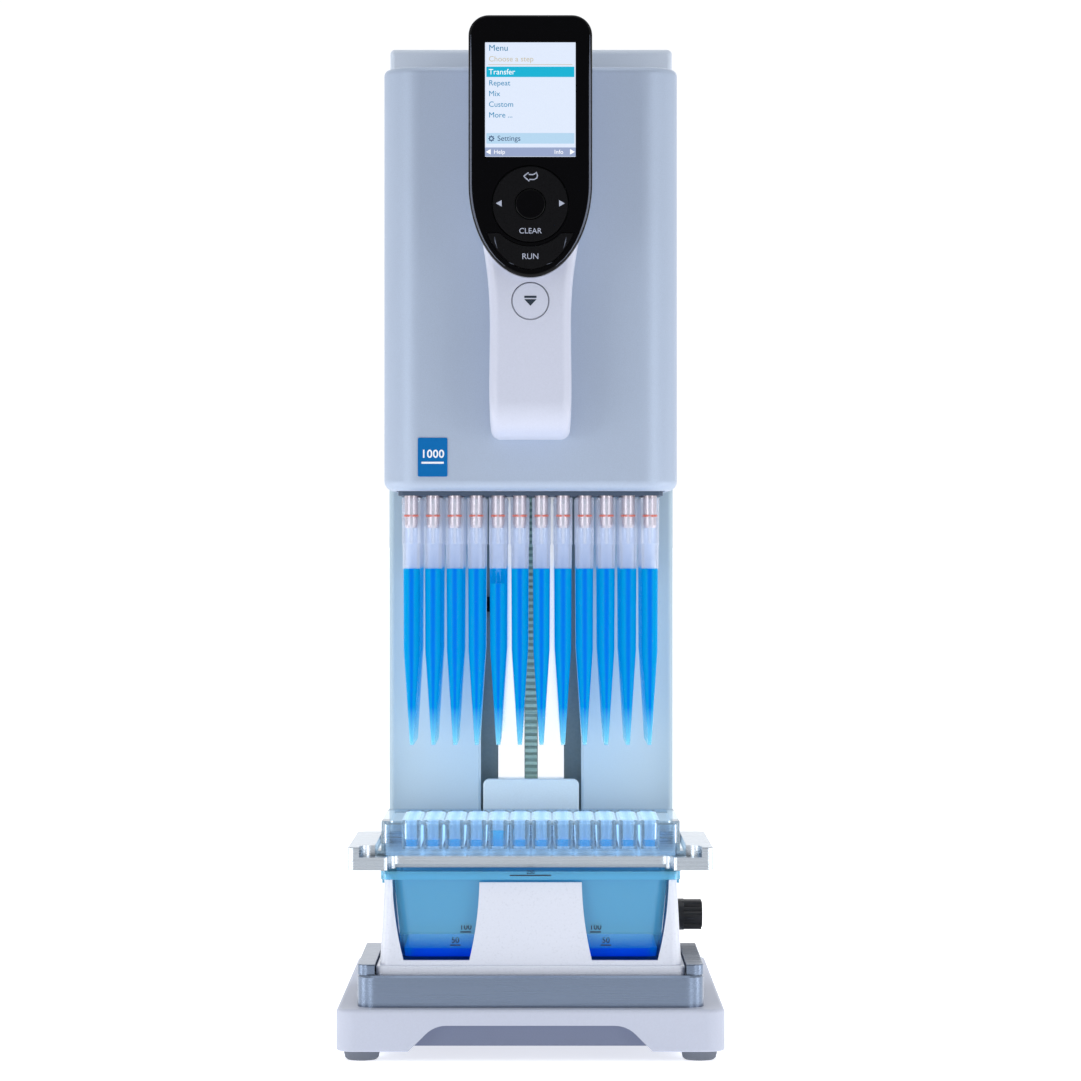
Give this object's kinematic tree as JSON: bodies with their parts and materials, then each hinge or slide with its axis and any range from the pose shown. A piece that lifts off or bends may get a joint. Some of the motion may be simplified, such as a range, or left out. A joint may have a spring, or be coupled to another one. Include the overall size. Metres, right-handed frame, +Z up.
{
  "type": "multichannel pipette",
  "caption": "Benchtop electronic multichannel pipette: a vertically moving head with a grid of tips and a front handset, on a tower with a sliding plate deck over a reservoir.",
  "frame": {"origin": "on the bench under the middle of the bounding box, head at the top of its stroke, deck pushed in", "axes": "+X to the operator's right, +Y away from the operator, +Z up"},
  "size_m": [0.1598, 0.252, 0.427],
  "materials": {
    "base_plastic": "fine satin texture",
    "pan_metal": "satin grey",
    "foot_rubber": "matt grey",
    "deck_aluminium": "brushed and anodised",
    "holder_white": "smooth white",
    "liner_clear": "clear moulded plastic",
    "plate_clear": "clear polystyrene",
    "tip_clear": "clear polypropylene",
    "tower_paint": "fine satin paint",
    "head_paint": "fine metallic satin paint",
    "grip_plastic": "satin",
    "black_gloss": "glossy black",
    "screen": "lit colour display under a clear window",
    "button_black": "satin black",
    "button_light": "satin",
    "knob_black": "moulded black",
    "steel_polished": "polished",
    "steel_plain": "machined",
    "belt_rubber": "ribbed grey-green",
    "bronze": "sintered",
    "seal_orange": "moulded orange",
    "board_green": "circuit board",
    "motor_dark": "black",
    "label_blue": "printed blue",
    "port_black": "moulded black"
  },
  "bodies": {
    "stand": {"base_cover": "base_plastic", "base_pan": "pan_metal", "rubber_feet": "foot_rubber", "deck_screws": "steel_plain", "lower_deck": "deck_aluminium", "tower_front_left": "tower_paint", "tower_front_right": "tower_paint", "tower_rear_cover": "tower_paint", "tower_cap": "tower_paint", "tower_screws": "steel_plain", "deck_bracket": "tower_paint", "deck_bushings": "bronze", "power_inlet": "port_black", "data_port": "steel_plain", "control_board": "board_green", "spine": "pan_metal", "guide_rails": "steel_polished", "drive_belt": "belt_rubber", "idler_axle": "steel_plain", "lift_motor": "motor_dark", "end_stop_sensor": "port_black"},
    "drive": {"drive_shaft": "steel_polished", "drive_pulley": "steel_plain", "height_knob": "knob_black"},
    "idler": {"idler_pulley": "steel_plain"},
    "rocker": {"power_rocker": "knob_black"},
    "deck": {"upper_deck": "deck_aluminium", "deck_rods": "steel_polished"},
    "plate": {"microplate": "plate_clear"},
    "reservoir": {"reservoir_base": "holder_white", "reservoir_liner": "liner_clear"},
    "head": {"head_cover": "head_paint", "head_back_plate": "steel_plain", "carriage": "deck_aluminium", "bearing_blocks": "steel_plain", "belt_clamp": "deck_aluminium", "nozzle_plate": "steel_plain", "nozzles": "steel_polished", "nozzle_o_rings": "seal_orange", "cylinder_block": "deck_aluminium", "guide_posts": "steel_polished", "motor_plate": "steel_plain", "piston_motor": "motor_dark", "head_board": "board_green", "head_screws": "steel_plain", "volume_label": "label_blue", "handset_shell": "grip_plastic", "handset_fascia": "black_gloss", "display_module": "screen", "handset_board": "board_green"},
    "piston_drive": {"piston_plate": "deck_aluminium", "pistons": "steel_plain", "screw_nut": "bronze"},
    "screw": {"lead_screw": "steel_polished"},
    "stripper": {"stripper_plate": "pan_metal", "pipette_tips": "tip_clear"},
    "wheel": {"touch_wheel": "button_black"},
    "ok": {"ok_button": "button_black"},
    "run": {"run_button": "button_black"},
    "eject": {"eject_button": "button_light"}
  },
  "joints": [
    {"name": "head_lift", "type": "slide", "parent": "stand", "child": "head", "axis": [0, 0, 1], "range_m": [-0.039, 0]},
    {"name": "drive_spin", "type": "hinge", "parent": "stand", "child": "drive", "pos_m": [0, 0.026, 0.0495], "axis": [1, 0, 0], "range_deg": [-5, 285]},
    {"name": "idler_spin", "type": "hinge", "parent": "stand", "child": "idler", "pos_m": [0, 0.026, 0.404], "axis": [1, 0, 0], "range_deg": [-5, 285]},
    {"name": "deck_slide", "type": "slide", "parent": "stand", "child": "deck", "axis": [0, -1, 0], "range_m": [0, 0.08]},
    {"name": "plate_lift", "type": "slide", "parent": "deck", "child": "plate", "axis": [0, 0, 1], "range_m": [0, 0.012]},
    {"name": "reservoir_slide", "type": "slide", "parent": "stand", "child": "reservoir", "axis": [0, -1, 0], "range_m": [0, 0.09]},
    {"name": "power_switch", "type": "hinge", "parent": "stand", "child": "rocker", "pos_m": [0.032, 0.121, 0.044], "axis": [1, 0, 0], "range_deg": [-12, 0]},
    {"name": "piston_stroke", "type": "slide", "parent": "head", "child": "piston_drive", "axis": [0, 0, -1], "range_m": [0, 0.038]},
    {"name": "screw_spin", "type": "hinge", "parent": "head", "child": "screw", "pos_m": [0, -0.046, 0.33], "axis": [0, 0, 1], "range_deg": [-5, 700]},
    {"name": "tip_strip", "type": "slide", "parent": "head", "child": "stripper", "axis": [0, 0, -1], "range_m": [0, 0.008]},
    {"name": "touch_wheel_press", "type": "slide", "parent": "head", "child": "wheel", "axis": [0, 1, 0], "range_m": [0, 0.0008], "stiffness_N_per_m": 600},
    {"name": "ok_press", "type": "slide", "parent": "head", "child": "ok", "axis": [0, 1, 0], "range_m": [0, 0.0012], "stiffness_N_per_m": 600},
    {"name": "run_press", "type": "slide", "parent": "head", "child": "run", "axis": [0, 1, 0], "range_m": [0, 0.0012], "stiffness_N_per_m": 600},
    {"name": "eject_press", "type": "slide", "parent": "head", "child": "eject", "axis": [0, 1, 0], "range_m": [0, 0.0015], "stiffness_N_per_m": 600}
  ],
  "couplings": [
    {"joint": "drive_spin", "follows": "head_lift", "rad_per_m": -125},
    {"joint": "idler_spin", "follows": "head_lift", "rad_per_m": -125},
    {"joint": "screw_spin", "follows": "piston_stroke", "rad_per_m": 314.16}
  ]
}
